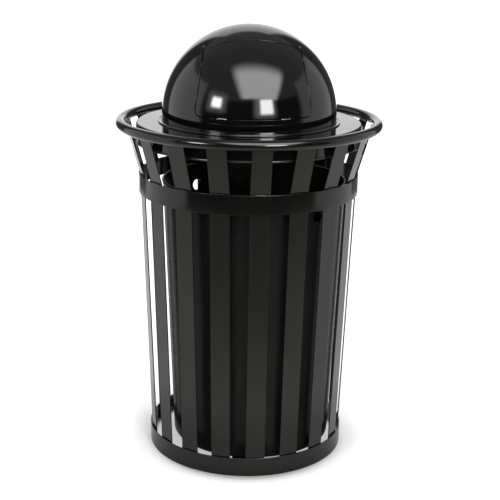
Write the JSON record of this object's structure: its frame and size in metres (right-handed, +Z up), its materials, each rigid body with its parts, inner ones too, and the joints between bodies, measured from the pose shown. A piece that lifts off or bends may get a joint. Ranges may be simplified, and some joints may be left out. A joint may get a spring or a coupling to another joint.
{
  "type": "litter bin",
  "caption": "Round outdoor litter bin of flared flat-bar slats with a lift-out liner and a domed lid with a self-closing push door.",
  "frame": {"origin": "centre of the footprint on the floor", "axes": "+Z up along the bin's axis, the push door faces -Y, +X to the viewer's right when facing the door"},
  "size_m": [0.7111, 0.7112, 1.1649],
  "materials": {
    "cage_paint": "black-brown gloss powder coat",
    "liner_plastic": "smooth black polyethylene",
    "lid_paint": "high-gloss black powder coat",
    "plated_steel": "zinc plate",
    "spring_steel": "drawn spring wire",
    "bush_plastic": "moulded nylon",
    "bumper_rubber": "moulded rubber"
  },
  "bodies": {
    "cage": {"top_ring": "cage_paint", "band_hoop": "cage_paint", "base_hoop": "cage_paint", "slat_01": "cage_paint", "slat_02": "cage_paint", "slat_03": "cage_paint", "slat_04": "cage_paint", "slat_05": "cage_paint", "slat_06": "cage_paint", "slat_07": "cage_paint", "slat_08": "cage_paint", "slat_09": "cage_paint", "slat_10": "cage_paint", "slat_11": "cage_paint", "slat_12": "cage_paint", "slat_13": "cage_paint", "slat_14": "cage_paint", "slat_15": "cage_paint", "slat_16": "cage_paint", "slat_17": "cage_paint", "slat_18": "cage_paint", "floor_bar": "cage_paint", "half_bar_front": "cage_paint", "half_bar_back": "cage_paint", "lid_rests": "cage_paint"},
    "liner": {"liner": "liner_plastic"},
    "lid": {"lid_pan": "lid_paint", "dome": "lid_paint", "hinge_bracket_left": "plated_steel", "hinge_bracket_right": "plated_steel", "bracket_rivets": "lid_paint", "hinge_rod": "plated_steel", "rod_clips": "plated_steel", "spring_left": "spring_steel", "spring_right": "spring_steel"},
    "door": {"door_panel": "lid_paint", "door_ear_left": "plated_steel", "door_ear_right": "plated_steel", "ear_bush_left": "bush_plastic", "ear_bush_right": "bush_plastic", "stop_tab_left": "plated_steel", "stop_tab_right": "plated_steel", "bumper_left": "bumper_rubber", "bumper_right": "bumper_rubber"}
  },
  "joints": [
    {"name": "lid_lift", "type": "slide", "parent": "cage", "child": "lid", "axis": [0, 0, 1], "range_m": [0, 1.15]},
    {"name": "liner_lift", "type": "slide", "parent": "cage", "child": "liner", "axis": [0, 0, 1], "range_m": [0, 0.92]},
    {"name": "door_swing", "type": "hinge", "parent": "lid", "child": "door", "pos_m": [0, -0.074, 1.0952], "axis": [1, 0, 0], "range_deg": [0, 65], "stiffness_Nm_per_rad": 0.8, "springref_deg": -114.59, "deforming": ["spring_left", "spring_right"]}
  ],
  "couplings": [
    {"joint": "liner_lift", "follows": "lid_lift", "ratio": 0.8}
  ]
}
